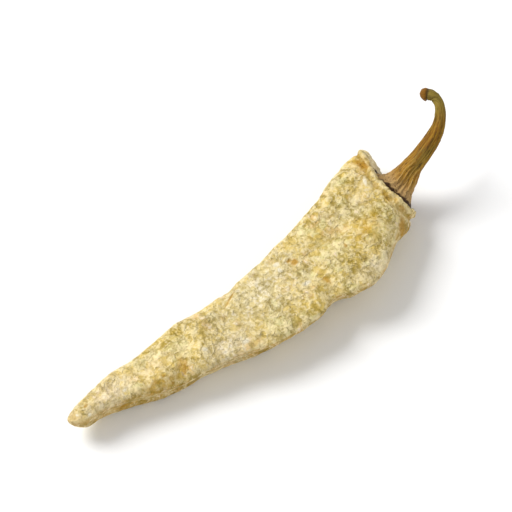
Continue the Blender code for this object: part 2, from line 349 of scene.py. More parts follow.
# %% Roll the rim
# Places, half widths and heights are in mm, and places are counted from the crest outwards
BEAD = {"at": 0.70, "half": 0.42, "height": 0.24}
BEAD_TOP_SHARE = 0.3
GROOVE = {"at": 1.50, "half": 0.40, "height": -0.27}
GROOVE_WANDER = 0.3
GROOVE_UNEVEN = 0.6
PLEATS = 41
PLEAT = {"at": 0.7, "half": 0.8, "height": 0.07}
PLEAT_WANDER = 9.0
PUCKER_SIZE = 0.8 * MM
PUCKER = {"at": 0.4, "half": 1.5, "height": 0.30}
WANDER_RING = 2.2
WANDER_LEVEL = 3.0


def hump(values, at, half, height):
    """A rounded rise, or with a negative height a dip, across the given place."""
    return height * np.exp(-(((values - at) / half) ** 2))


def noise_at(places):
    """Blender's own noise at each of the places."""
    return np.array([noise.noise(Vector(place)) for place in places])


# Noise that is read along a ring meets itself after a full turn
wander = noise_at((math.cos(t) * WANDER_RING, math.sin(t) * WANDER_RING, WANDER_LEVEL) for t in turn)
rolled = hump(from_crest, **BEAD) * (1.0 - BEAD_TOP_SHARE + BEAD_TOP_SHARE * np.sin(turn))
rolled += hump(from_crest - GROOVE_WANDER * wander, **GROOVE) * (1.0 + GROOVE_UNEVEN * wander)
rolled += hump(from_crest, **PLEAT) * np.cos(PLEATS * turn + PLEAT_WANDER * wander)
rolled += hump(from_crest, **PUCKER) * noise_at(smooth_points / PUCKER_SIZE)
print("rim rolled by", rolled.min().round(2), "to", rolled.max().round(2), "mm")

# %% Draw the long edges tight
TAUT_SHARE = 0.55
TAUT_GAIN = 1.6
TAUT_FROM = 2.5

flank = 1.0 - np.abs(smooth_normals[:, 2])
taut = TAUT_SHARE * np.clip(flank * TAUT_GAIN, 0.0, 1.0) * (from_crest > TAUT_FROM)
crinkled = smooth_points + (read_rows(skin) - smooth_points) * (1.0 - taut)[:, None]
write_points(skin, crinkled + smooth_normals * (rolled * MM)[:, None])
print("crinkles flattened by up to", round(100 * taut.max()), "percent on the flanks")


# %% [markdown]
# ## The tip
#
# Laid over the photograph, the tip of the solid is half a millimetre too long and a little low. On
# the real chili it has shrunk back and curled up by that much.
#
# By hand this is one pull with proportional editing switched on. Here it is the same in numbers, so
# it comes out the same each time: all the points near the tip move by one step, times a share that
# fades out over four millimetres.

# %% Draw the tip in
TIP_STEP = Vector((0.50, 0.07, 0.24)) * MM
TIP_FADE = (4.5, 0.3)


def soft_step(low, high, values):
    """0 up to the first level, 1 from the second on, and smooth between."""
    share = np.clip((values - low) / (high - low), 0.0, 1.0)
    return share * share * (3.0 - 2.0 * share)


tip_share = soft_step(*TIP_FADE, shape[:, 0] / MM)
write_points(skin, read_rows(skin) + tip_share[:, None] * np.array(TIP_STEP))
print(int((tip_share > 0.5).sum()), "points near the tip moved by more than half a step")


# %% [markdown]
# ## The marks
#
# The photograph shows marks that belong to this one chili: an ochre pit and a smear on its face, pale
# spots where curd has dried, creases at its bends, and broad patches that are paler, yellower or
# more olive than the rest.
#
# They could be painted on by hand as a picture. Here each is one row of a table: a soft oval where
# the camera sees the mark, with its depth and its tint. The depth moves the skin. The tint is kept
# with the vertices, so it stays on the skin from every side, and the material reads it. The ochre of
# the pressed-in pits and creases is partly the skin's own stain and partly painted shade.

# %% Write down the marks
# Each row starts with an oval as the camera sees it: mm across and up from the tip, half length,
# half width, and turn in degrees. Then come its depth in mm, how ochre it is and how pale
OVAL = slice(0, 5)
DEPTH, OCHRED, BLEACHED = 5, 6, 7
MARKS = (
    (37.3, 26.7, 0.65, 0.50, 10.0, 0.20, 1.1, 0.0),
    (36.4, 26.9, 0.60, 0.35, 20.0, 0.12, 0.7, 0.0),
    (34.3, 26.2, 0.60, 0.35, 30.0, -0.05, 0.0, 1.0),
    (34.9, 25.3, 0.50, 0.35, -20.0, -0.05, 0.0, 1.0),
    (42.7, 23.7, 1.20, 0.65, -38.0, 0.12, 0.62, 0.0),
    (41.3, 24.9, 0.80, 0.40, -20.0, 0.05, 0.5, 0.0),
    (46.2, 37.3, 0.60, 0.30, 20.0, 0.05, 0.5, 0.0),
    (45.7, 29.5, 0.80, 0.35, -50.0, 0.10, 0.6, 0.0),
    (39.4, 23.2, 0.90, 0.45, 30.0, -0.05, 0.0, 0.9),
    (48.9, 39.9, 0.35, 0.80, 20.0, -0.05, 0.0, 0.9),
    (48.4, 42.8, 1.30, 0.50, -25.0, 0.40, 1.0, 0.0),
    (54.0, 36.8, 0.90, 0.35, -50.0, 0.08, 0.5, 0.0),
    (55.2, 35.5, 0.80, 0.35, -50.0, 0.12, 0.7, 0.0),
    (26.7, 20.6, 2.20, 0.22, 60.0, 0.14, 0.7, 0.0),
    (19.3, 9.2, 1.60, 0.50, 80.0, 0.16, 0.6, 0.0),
    (15.9, 8.0, 0.50, 0.35, 10.0, 0.06, 0.7, 0.0),
    (17.4, 6.9, 0.45, 0.30, -40.0, 0.06, 0.7, 0.0),
    (9.3, 3.1, 0.90, 0.24, 35.0, 0.14, 0.9, 0.0),
    (3.1, 3.2, 0.65, 0.35, 60.0, 0.10, 0.7, 0.0),
    (1.5, 1.3, 0.35, 0.30, 0.0, -0.05, 0.0, 0.9),
    (3.8, 1.7, 0.55, 0.35, 50.0, -0.04, 0.0, 0.7),
    (9.5, 5.8, 0.45, 0.30, 40.0, -0.05, 0.0, 0.9),
    (29.4, 13.7, 0.90, 0.50, 25.0, -0.05, 0.0, 0.8),
    (22.6, 12.4, 0.70, 0.50, 0.0, -0.05, 0.0, 0.8),
    (53.6, 34.9, 1.40, 0.25, -62.0, -0.14, 0.0, 0.4),
    (53.9, 31.6, 1.70, 0.25, -105.0, -0.14, 0.0, 0.4),
    (55.1, 32.4, 2.40, 0.60, -84.0, 0.10, 0.8, 0.0),
)

# %% Write down the broad patches
# The oval again, then how much it is paled by curd, pinked, yellowed and tinged with olive
PALED, PINKED, YELLOWED, OLIVED = 5, 6, 7, 8
PATCHES = (
    (31.0, 21.3, 8.5, 4.2, 42.0, 1.0, 0.0, 0.0, 0.0),
    (36.0, 26.6, 2.6, 1.8, 20.0, 0.8, 0.0, 0.0, 0.0),
    (26.5, 12.6, 4.0, 2.0, 35.0, 1.0, 0.6, 0.0, 0.0),
    (7.0, 5.0, 4.5, 1.9, 38.0, 0.6, 1.0, 0.0, 0.0),
    (14.0, 9.4, 3.0, 1.6, 38.0, 0.0, 0.6, 0.0, 0.0),
    (48.6, 38.3, 2.6, 1.8, 60.0, 0.6, 0.0, 0.3, 0.0),
    (44.3, 33.5, 2.5, 1.6, 45.0, 0.4, 0.0, 0.2, 0.0),
    (51.0, 26.0, 3.0, 1.6, 45.0, 0.6, 0.6, 0.0, 0.0),
    (42.1, 30.2, 3.4, 1.3, 20.0, 0.0, 0.0, 0.0, 0.8),
    (49.4, 32.2, 2.6, 2.0, 70.0, 0.0, 0.0, 0.8, 0.3),
    (36.5, 25.0, 3.0, 0.7, 10.0, 0.0, 0.0, 0.0, 0.6),
    (29.6, 18.0, 3.0, 0.8, 50.0, 0.0, 0.0, 0.0, 0.5),
    (53.9, 36.0, 4.0, 0.8, -65.0, 0.0, 0.0, 0.4, 0.0),
    (15.4, 6.6, 4.0, 1.1, 25.0, 0.0, 0.0, 1.0, 0.2),
    (15.6, 7.6, 1.6, 0.9, 20.0, 0.0, 0.0, 0.0, 0.9),
    (19.0, 9.7, 1.0, 1.9, 10.0, 0.0, 0.0, 0.7, 0.0),
    (9.0, 2.6, 5.0, 0.9, 20.0, 0.0, 0.0, 0.8, 0.0),
    (0.9, 0.9, 2.0, 1.6, 45.0, 0.2, 0.6, 0.6, 0.0),
    (48.4, 42.8, 2.0, 1.2, -20.0, 0.0, 0.0, 1.0, 0.0),
)

# %% Press in the marks
# How soon a mark fades out where the skin turns away from the camera
FACING_GAIN = 4.0

seen = smooth_points - np.array(tip_point)
seen_across = seen @ np.array(across_view) / MM
seen_up = seen @ np.array(up_view) / MM
in_front = np.clip(smooth_normals @ np.array(back) * FACING_GAIN, 0.0, 1.0)


def spot(at_across, at_up, half_length, half_width, degrees):
    """A soft oval of ones on the side that the camera sees, with its long axis turned."""
    cosine, sine = math.cos(math.radians(degrees)), math.sin(math.radians(degrees))
    lengthwise = (seen_across - at_across) * cosine + (seen_up - at_up) * sine
    sidewise = (seen_up - at_up) * cosine - (seen_across - at_across) * sine
    return np.exp(-((lengthwise / half_length) ** 2) - (sidewise / half_width) ** 2) * in_front


def strongest(rows, column):
    """For each point, the most that any row's oval gives it of what the column holds."""
    return np.max([row[column] * spot(*row[OVAL]) for row in rows], axis=0)


pressed = -sum(row[DEPTH] * spot(*row[OVAL]) for row in MARKS)
write_points(skin, read_rows(skin) + smooth_normals * (pressed * MM)[:, None])
print(len(MARKS), "marks, the deepest", pressed.min().round(2), "mm")

# %% Measure how high each point stands
points = read_rows(skin)
points[:, 2] = np.maximum(points[:, 2], pod_low.z)
write_points(skin, points)
relief = ((points - smooth_points) * smooth_normals).sum(axis=1) / MM
print("relief from", relief.min().round(2), "to", relief.max().round(2), "mm")


def neighbour_means(piece, values, rounds):
    """The values averaged with their neighbours along the edges, some rounds over."""
    count = len(piece.data.vertices)
    edges = np.empty(len(piece.data.edges) * 2, dtype=np.int32)
    piece.data.edges.foreach_get("vertices", edges)
    edges = edges.reshape(-1, 2)
    met = np.bincount(edges.ravel(), minlength=count)
    for _ in range(rounds):
        total = np.bincount(edges[:, 0], weights=values[edges[:, 1]], minlength=count)
        total += np.bincount(edges[:, 1], weights=values[edges[:, 0]], minlength=count)
        values = (values + total) / (1 + met)
    return values


# %% Keep what the colours will need
RIDGE_ROUNDS = 12
# The far side of the mouth, as a turn around the seat, where the seat is not in the shade
FAR_SIDE = {"at": 0.35, "half": 0.95, "height": 1.0}
# The oval of a painted shadow line where the far lip folds over the calyx
SEAM_SHADOW_OVAL = (50.4, 41.9, 1.5, 0.34, -42.0)


def write_attribute(piece, name, values):
    """Keeps a number for each vertex, for the material to read."""
    made = piece.data.attributes.new(name, "FLOAT", "POINT")
    made.data.foreach_set("value", values.astype(np.float32))


for_the_colours = {
    "ridge": relief - neighbour_means(skin, relief, RIDGE_ROUNDS),
    "flank": flank,
    "from_crest": from_crest,
    "seat_shade": 1.0 - hump(turn, **FAR_SIDE),
    "seam_shadow": spot(*SEAM_SHADOW_OVAL) * in_seat,
    "paled": strongest(PATCHES, PALED),
    "pinked": strongest(PATCHES, PINKED),
    "yellowed": strongest(PATCHES, YELLOWED),
    "olived": strongest(PATCHES, OLIVED),
    "ochre_marks": strongest(MARKS, OCHRED),
    "pale_marks": strongest(MARKS, BLEACHED),
}
for name, values in for_the_colours.items():
    write_attribute(skin, name, values)
work_on(skin)
bpy.ops.object.shade_smooth()
print("kept with the skin:", ", ".join(for_the_colours))


# %% [markdown]
# ## The calyx and the stem
#
# On the real chili the calyx and the stem are one growth: the calyx is a small toothed disc sunk in
# the pod's rim, and its ribs draw together and run on up the stem to a knob where it broke off.
#
# A Curve modifier could bend a rod into this, but it would turn every ring square to the curve, and
# the calyx's disc leans. So one rod is modelled straight, where ribs and grooves are easy to make,
# then laid along the route ring by ring. It is cut in two at the collar last of all, so the ribs
# meet across the cut.

# %% Write down the route of the stalk
# Each row is one ring of the calyx: x, y, z of its centre, lean in degrees, half width, half height
CALYX_ROWS = (
    (66.85, -2.35, 5.20, 19.0, 1.60, 1.15),
    (67.10, -2.35, 5.20, 19.0, 3.10, 2.25),
    (67.80, -2.35, 5.20, 19.0, 4.00, 2.90),
    (68.55, -2.35, 5.20, 19.0, 4.32, 3.17),
    (68.95, -2.33, 5.24, 19.0, 4.20, 3.10),
    (69.40, -2.28, 5.34, 20.0, 3.60, 2.80),
    (69.90, -2.20, 5.52, 23.0, 2.95, 2.50),
    (70.45, -2.10, 5.78, 27.0, 2.50, 2.28),
    (71.00, -2.01, 6.05, 32.0, 2.26, 2.14),
    (71.45, -1.94, 6.30, 36.0, 2.12, 2.05),
)
# Each row is one ring of the stem: x, y, z of its centre, radius
STEM_ROWS = (
    (71.83, -1.90, 6.53, 2.02),
    (72.45, -1.84, 6.98, 1.86),
    (73.20, -1.78, 7.60, 1.68),
    (74.60, -1.78, 8.80, 1.50),
    (76.70, -1.55, 10.20, 1.38),
    (78.55, -1.20, 11.50, 1.19),
    (80.20, -0.50, 12.70, 1.00),
    (81.45, 0.55, 13.70, 0.85),
    (82.20, 1.80, 14.40, 0.79),
    (82.30, 3.10, 14.70, 0.84),
    (81.80, 4.15, 14.70, 0.98),
    (81.15, 4.64, 14.52, 1.08),
    (80.75, 4.80, 14.42, 0.98),
)

# %% Join the two into one route
# The columns of the joined route
CENTRE, FACING, HALVES = slice(0, 3), slice(3, 6), slice(6, 8)


def unit_rows(rows):
    """The rows, each brought to length 1."""
    return rows / np.linalg.norm(rows, axis=1)[:, None]


def through(rows, knots, at):
    """The rows' values at the places in between, on a smooth curve through every row."""
    slopes = np.gradient(rows, knots, axis=0)
    before = np.clip(np.searchsorted(knots, at, side="right") - 1, 0, len(knots) - 2)
    span = (knots[before + 1] - knots[before])[:, None]
    t = (at - knots[before])[:, None] / span
    return (
        (2 * t**3 - 3 * t**2 + 1) * rows[before]
        + (t**3 - 2 * t**2 + t) * span * slopes[before]
        + (3 * t**2 - 2 * t**3) * rows[before + 1]
        + (t**3 - t**2) * span * slopes[before + 1]
    )


calyx_rows, stem_rows = np.array(CALYX_ROWS), np.array(STEM_ROWS)
centres = np.vstack([calyx_rows[:, :3], stem_rows[:, :3]])
lean = np.radians(calyx_rows[:, 3])
calyx_facings = np.column_stack([np.cos(lean), np.zeros(len(lean)), np.sin(lean)])
stem_facings = unit_rows(np.gradient(centres, axis=0))[len(lean):]
halves = np.vstack([calyx_rows[:, 4:], np.repeat(stem_rows[:, 3:], 2, axis=1)])
route = np.hstack([centres, np.vstack([calyx_facings, stem_facings]), halves])
steps = np.linalg.norm(np.diff(centres, axis=0), axis=1)
knots = np.concatenate([[0.0], np.cumsum(steps)])
stalk_length = knots[-1]
print("the stalk is", round(stalk_length, 1), "mm along its middle")

# %% Model the stalk straight
# The straight rod is modelled in units of a millimetre, with radius 1
STALK_SIDES = 72
STALK_CUTS = (100, 1)


def select_long_edges(piece):
    """Selects the edges that run lengthwise, and nothing else."""
    bpy.ops.object.mode_set(mode="EDIT")
    bpy.ops.mesh.select_mode(type="EDGE")
    bpy.ops.mesh.select_all(action="DESELECT")
    bpy.ops.object.mode_set(mode="OBJECT")
    vertices = piece.data.vertices
    for edge in piece.data.edges:
        start, end = (vertices[number].co for number in edge.vertices)
        edge.select = abs(start.x - end.x) > abs(start.y - end.y) + abs(start.z - end.z)


deselect_all()
bpy.ops.mesh.primitive_cylinder_add(
    vertices=STALK_SIDES, radius=1.0, depth=stalk_length,
    location=(stalk_length / 2, 0.0, 0.0), rotation=(0.0, math.radians(90.0), 0.0),
)
stalk = bpy.context.object
stalk.name = stalk.data.name = "stalk"
bpy.ops.object.transform_apply(location=True, rotation=True, scale=True)
for cuts in STALK_CUTS:
    select_long_edges(stalk)
    bpy.ops.object.mode_set(mode="EDIT")
    bpy.ops.mesh.subdivide(number_cuts=cuts)
    bpy.ops.object.mode_set(mode="OBJECT")
print("straight stalk has", len(stalk.data.vertices), "points")

# %% Work out its ribs and grooves
# Heights and depths are shares of the rod's radius, and places are mm along it
RIBS = 5
RIB_HEIGHT = 0.11
RIB_TWIST = math.radians(70.0)
RIB_AT_RIM = 0.35
RIBS_START = (0.3, 1.2)
RIBS_GROW = (1.2, 4.0)
RIBS_SINK = (14.0, 18.0)
RIBS_SUNK = 0.9
GROOVES = 19
GROOVE_DEPTH = 0.030
GROOVE_TURN = 3.0
FOOT_GROOVE_DEPTH = 0.035
FOOT_START = (1.0, 2.2)
FOOT_END = (11.0, 3.0)
BEND_RATE = 0.35
BEND_AT = (2.0, 5.0)

rod = read_rows(stalk)
along = rod[:, 0]
around = np.arctan2(rod[:, 2], rod[:, 1])
untwisted = around - RIB_TWIST * along / stalk_length
grown = soft_step(*RIBS_GROW, along) - RIBS_SUNK * soft_step(*RIBS_SINK, along)
ribs = RIB_HEIGHT * np.cos(RIBS * untwisted) * (RIB_AT_RIM + (1.0 - RIB_AT_RIM) * grown)
ribs *= soft_step(*RIBS_START, along)
foot_share = soft_step(*FOOT_END, along) * soft_step(*FOOT_START, along)
furrow = np.cos(GROOVES * untwisted + GROOVE_TURN * noise_at((x * BEND_RATE, *BEND_AT) for x in along))
grooves = (GROOVE_DEPTH + FOOT_GROOVE_DEPTH * foot_share) * furrow
print("ribs and grooves change the radius by up to", round(100 * (ribs + grooves).max()), "percent")

# %% Add the calyx's teeth and the knob, and swell the rod to its route
TEETH = 5
TOOTH = {"at": 1.75, "half": 0.9, "height": 0.05}
TOOTH_TURN = 0.4
KNOB_ROUNDING = 1.0
KNOB_END_SHARE = 0.03
KNOB_FROM_END = 1.3
KNOB_CREASE = {"half": 0.22, "height": 0.09}

knob_at = stalk_length - KNOB_FROM_END
teeth = np.cos(TEETH * (around - TOOTH_TURN)) * hump(along, **TOOTH)
swell = 1.0 + ribs + grooves + teeth
from_end = np.clip((stalk_length - along) / KNOB_ROUNDING, 0.0, 1.0)
swell *= np.sqrt(1.0 - (1.0 - from_end) ** 2) * (1.0 - KNOB_END_SHARE) + KNOB_END_SHARE
swell -= hump(along, at=knob_at, **KNOB_CREASE)
rod[:, 1:] *= swell[:, None]
rod[:, 1:] *= through(route, knots, along)[:, HALVES]
write_points(stalk, rod)
print("the rod is", round(2 * np.abs(rod[:, 1]).max(), 1), "mm across at its widest")

# %% Roughen the bark
# Each row is one layer: name, size and height in mm, stretch along the rod, level that stays put,
# other settings
BARK_LAYERS = (
    ("bark", 0.55, -0.16, 7.0, 0.4, {"noise_depth": 2, "noise_type": "HARD_NOISE"}),
    ("knots", 1.6, 0.16, 2.0, 0.5, {"noise_depth": 1}),
)
BARK_RIDGE_ROUNDS = 10


def displace_along(piece, pattern, height, stretch, middle):
    """Displaces by a pattern that an empty stretches along the rod."""
    empty = bpy.data.objects.new("stretch", None)
    empty.scale = (stretch, 1.0, 1.0)
    bpy.context.scene.collection.objects.link(empty)
    bpy.context.view_layer.update()
    apply_modifier(
        piece, "DISPLACE", texture=pattern, strength=height, mid_level=middle,
        texture_coords="OBJECT", texture_coords_object=empty,
    )
    bpy.data.objects.remove(empty)


def write_vectors(piece, name, rows):
    """Keeps a place for each vertex, for the material to read."""
    made = piece.data.attributes.new(name, "FLOAT_VECTOR", "POINT")
    made.data.foreach_set("vector", rows.astype(np.float32).ravel())


before = read_rows(stalk)
for name, size, height, stretch, middle, settings in BARK_LAYERS:
    displace_along(stalk, texture(name, "CLOUDS", size, **settings), height, stretch, middle)
write_vectors(stalk, "straight", before)
write_attribute(stalk, "furrow", furrow)
rod = read_rows(stalk)
lift = np.hypot(rod[:, 1], rod[:, 2]) - np.hypot(before[:, 1], before[:, 2])
write_attribute(stalk, "ridge", lift - neighbour_means(stalk, lift, BARK_RIDGE_ROUNDS))
print("bark relief from", lift.min().round(2), "to", lift.max().round(2), "mm")

# %% Lay it along the route
rings = through(route, knots, rod[:, 0])
facing = unit_rows(rings[:, FACING])
aside = np.tile([0.0, 1.0, 0.0], (len(rod), 1))
aside = unit_rows(aside - facing * (aside * facing).sum(axis=1)[:, None])
upwards = np.cross(facing, aside)
laid = rings[:, CENTRE] + aside * rod[:, 1:2] + upwards * rod[:, 2:3]
write_points(stalk, laid * MM + np.array(part_zero))
edit_all(stalk)
bpy.ops.mesh.normals_make_consistent(inside=False)
bpy.ops.object.mode_set(mode="OBJECT")
bpy.ops.object.shade_smooth()
print("the stalk rises to", round(read_rows(stalk)[:, 2].max() / MM, 1), "mm above the ground")

# %% Measure how near the stalk comes to the rim
def search_tree(places):
    """A tree that finds the nearest of the places."""
    tree = KDTree(len(places))
    for number, place in enumerate(places):
        tree.insert(place, number)
    tree.balance()
    return tree


crest_tree = search_tree(points[crests])
from_rim = np.array([crest_tree.find(place)[2] for place in read_rows(stalk)]) / MM
write_attribute(stalk, "from_rim", from_rim)
print("the stalk comes as near as", from_rim.min().round(2), "mm to the rim's crest")

# %% Cut it in two at the collar
COLLAR_AT = 5.3
SMOOTH_ANGLE = math.radians(50.0)


def cut_piece(piece, name, keep_upper):
    """A copy of the stalk with everything on one side of the collar cut off and closed."""
    part = piece.copy()
    part.data = piece.data.copy()
    part.name = part.data.name = name
    bpy.context.scene.collection.objects.link(part)
    ring = through(route, knots, np.array([COLLAR_AT]))[0]
    edit_all(part)
    bpy.ops.mesh.bisect(
        plane_co=Vector(ring[CENTRE]) * MM + part_zero, plane_no=Vector(ring[FACING]).normalized(),
        use_fill=True, clear_inner=keep_upper, clear_outer=not keep_upper, threshold=NEARLY_TOUCHING,
    )
    bpy.ops.object.mode_set(mode="OBJECT")
    bpy.ops.object.shade_smooth_by_angle(angle=SMOOTH_ANGLE)
    print(name, "has", len(part.data.polygons), "faces")
    return part


calyx = cut_piece(stalk, "calyx_cup", keep_upper=False)
stem = cut_piece(stalk, "stem_hook", keep_upper=True)
bpy.data.objects.remove(stalk)


# %% [markdown]
# ## The far lip
#
# On the real chili the skin at the far side of the mouth is folded in against the calyx, and a dark
# seam shows between them. The solid leaves a pocket there, because two solids may not touch.
#
# A flap could be added as a piece of its own, but it would need a hem on the skin. So the inside of
# the lip is drawn towards the calyx instead, each point along the line to the nearest point of the
# calyx, until a narrow gap is left. The lip's crest stays where it is, so the outline doesn't change.
# The distance left to the calyx is kept with each point, and the material paints shade by it there.

# %% Draw the far lip in
LIP_GAP = 0.45
LIP_TURN = {"at": 0.1, "half": 1.0, "height": 1.0}
LIP_FOLD = (0.3, 1.4)
LIP_SMOOTHING = 8
# What a point outside the seat is given as its distance from the calyx, in mm
FAR_AWAY = 9.0

skin_points = read_rows(skin)
seat_rows = np.flatnonzero(in_seat)
calyx_tree = search_tree(read_rows(calyx))
nearest = [calyx_tree.find(place) for place in skin_points[seat_rows]]
away = np.full(len(skin_points), FAR_AWAY)
away[seat_rows] = [found[2] / MM for found in nearest]
share = np.clip(1.0 - LIP_GAP / away, 0.0, 1.0)
share *= hump(turn, **LIP_TURN) * soft_step(*LIP_FOLD, -from_crest)
drawn = np.zeros_like(skin_points)
drawn[seat_rows] = np.array([found[0] for found in nearest]) - skin_points[seat_rows]
drawn *= share[:, None]
drawn = np.column_stack([neighbour_means(skin, column, LIP_SMOOTHING) for column in drawn.T])
write_points(skin, skin_points + drawn)
away[seat_rows] -= np.linalg.norm(drawn[seat_rows], axis=1) / MM
write_attribute(skin, "from_calyx", away)
print("the lip is drawn in by", (np.linalg.norm(drawn, axis=1).max() / MM).round(2), "mm at most")


# %% [markdown]
# ## The colours of the skin
#
# The skin is straw-coloured. Its high places and edges are cream, partly dried curd and partly
# painted highlight; its creases are olive brown, partly its own tint and partly painted shade; and its
# flanks are painted ochre as shade. Broad patches drift towards a greenish white or a pinkish
# beige. The skin is thin and dry, so it shines only a little.
#
# The colours could follow one noise, but then they would have nothing to do with the crinkles. Here
# one crumpled pattern makes both the bump and the flecks, so a fleck lies on a high place and a dark
# line in a crease. The place is pushed about by noise first, which gives every patch a ragged edge.

# %% Tools for building a material
# The Mix node has sockets for every kind of data, and these are the ones it uses for colours
MIX_SHARE, MIX_UNDER, MIX_OVER, MIX_RESULT = 0, 6, 7, 2


def feed(socket, value):
    """Links another node's output into a socket, or sets the socket to a value."""
    if isinstance(value, bpy.types.NodeSocket):
        socket.id_data.links.new(value, socket)
    elif socket.type == "RGBA":
        socket.default_value = (*value, 1.0)
    else:
        socket.default_value = value


def new_node(tree, kind, sockets=None, **settings):
    """Adds a node, sets it up, and feeds the sockets that are given by name or number."""
    node = tree.nodes.new(kind)
    for name, value in settings.items():
        setattr(node, name, value)
    for name, value in (sockets or {}).items():
        feed(node.inputs[name], value)
    return node


def paint(under, over, share):
    """The colour under, covered by the colour over where share is 1."""
    sockets = {MIX_SHARE: share, MIX_UNDER: under, MIX_OVER: over}
    return new_node(share.id_data, "ShaderNodeMix", sockets, data_type="RGBA").outputs[MIX_RESULT]


def layered(colour, layers):
    """The colour with each layer, a pair of a colour and its share, painted over what is there."""
    for over, share in layers:
        colour = paint(colour, over, share)
    return colour


def kept(tree, name, output="Fac"):
    """What was kept for each vertex."""
    return new_node(tree, "ShaderNodeAttribute", attribute_name=name).outputs[output]


# %% Tools for sums and levels
def calculate(operation, *values):
    """One step of arithmetic, on a socket and other sockets or numbers."""
    node = new_node(values[0].id_data, "ShaderNodeMath", dict(enumerate(values)), operation=operation)
    return node.outputs[0]


def times(first, second):
    """The two multiplied."""
    return calculate("MULTIPLY", first, second)


def plus(first, second):
    """The two added."""
    return calculate("ADD", first, second)


def rise(value, low, high, top=1.0):
    """0 where the value is under low, top where it is over high, and smooth between."""
    sockets = {"Value": value, "From Min": low, "From Max": high, "To Max": top}
    node = new_node(value.id_data, "ShaderNodeMapRange", sockets, interpolation_type="SMOOTHSTEP")
    return node.outputs["Result"]


# %% Tools for patterns
def spread(place, size):
    """The place measured in pattern sizes, with one size in metres or one for each axis."""
    sizes = size if isinstance(size, tuple) else (size, size, size)
    node = new_node(place.id_data, "ShaderNodeVectorMath", {0: place, 1: sizes}, operation="DIVIDE")
    return node.outputs[0]


def clouds(place, size, seed=0.0, detail=3.0, roughness=0.6, distortion=0.0):
    """Soft noise from 0 to 1."""
    sockets = {
        "Vector": spread(place, size), "W": seed, "Scale": 1.0,
        "Detail": detail, "Roughness": roughness, "Distortion": distortion,
    }
    return new_node(place.id_data, "ShaderNodeTexNoise", sockets, noise_dimensions="4D").outputs["Fac"]


def crumpled(place, size, reach):
    """The place pushed about by noise, so that what is painted by it gets ragged edges."""
    sockets = {"Vector": spread(place, size), "Scale": 1.0}
    push = new_node(place.id_data, "ShaderNodeTexNoise", sockets).outputs["Color"]
    sockets = {0: push, 1: (reach, reach, reach), 2: place}
    return new_node(place.id_data, "ShaderNodeVectorMath", sockets, operation="MULTIPLY_ADD").outputs[0]


def facets_of(place, size):
    """Little pyramids with flat sides, which make a surface look like crumpled paper."""
    sockets = {"Vector": spread(place, size), "Scale": 1.0}
    node = new_node(place.id_data, "ShaderNodeTexVoronoi", sockets, distance="MANHATTAN")
    return node.outputs["Distance"]


def threads(place, size, seed, width):
    """Thin wandering lines: 1 along each line and 0 beside it."""
    off = calculate("SUBTRACT", clouds(place, size, seed, detail=2.0), 0.5)
    return rise(calculate("ABSOLUTE", off), width, 0.0)


# %% Lay out the skin's patterns
# A pucker runs across the pod more than along it
FACET_SIZES = (1.05 * MM, 1.75 * MM, 1.4 * MM)
PUCKER_SIZES = (0.85 * MM, 1.4 * MM, 1.1 * MM)


def broken_threads(place, torn, size, seed, width):
    """Threads that are there in some patches only."""
    there = rise(clouds(place, 1.6 * MM, seed + 1.0), 0.42, 0.52)
    return times(threads(torn, size, seed, width), there)


def skin_patterns(tree):
    """The patterns that the bump and the colours of the skin share. The seeds only tell them apart."""
    place = tree.nodes.new("ShaderNodeTexCoord").outputs["Object"]
    ragged = crumpled(place, 0.9 * MM, 1.1 * MM)
    torn = crumpled(place, 0.5 * MM, 0.35 * MM)
    facets = times(facets_of(ragged, FACET_SIZES), -0.6)
    puckers = times(clouds(ragged, PUCKER_SIZES, seed=6.0, detail=5.0, roughness=0.75), 1.8)
    return SimpleNamespace(
        crumple=plus(facets, puckers),
        dark=broken_threads(place, torn, 2.1 * MM, seed=7.0, width=0.06),
        light=broken_threads(place, torn, 1.9 * MM, seed=9.0, width=0.09),
        busy=rise(clouds(place, 4.2 * MM, seed=14.0, detail=1.0), 0.38, 0.58),
        patches=clouds(ragged, 3.5 * MM, seed=1.0),
        greens=clouds(ragged, 4.5 * MM, seed=2.0),
        creams=clouds(ragged, 1.6 * MM, seed=3.0),
        browns=clouds(ragged, 1.3 * MM, seed=12.0),
        blotchy=rise(clouds(ragged, 1.1 * MM, seed=13.0), 0.30, 0.62),
        speck=clouds(torn, 0.8 * MM, seed=15.0, detail=2.0),
        uneven=plus(times(clouds(place, 0.7 * MM, seed=11.0), 0.8), -0.4),
    )


def skin_height(on):
    """The height for the bump, from the patterns, and higher where the skin is busy."""
    height = plus(on.crumple, plus(times(on.light, 0.35), times(on.dark, -0.35)))
    return times(height, plus(times(on.busy, 0.5), 0.7))


# %% Colour the bare skin
STRAW = (0.76, 0.555, 0.145)
CREAM = (0.97, 0.81, 0.44)
PINK_WHITE = (0.98, 0.79, 0.56)
GREEN_WHITE = (0.84, 0.785, 0.41)
PINK_BEIGE = (0.80, 0.52, 0.25)
OCHRE = (0.52, 0.28, 0.03)
KHAKI = (0.37, 0.25, 0.02)


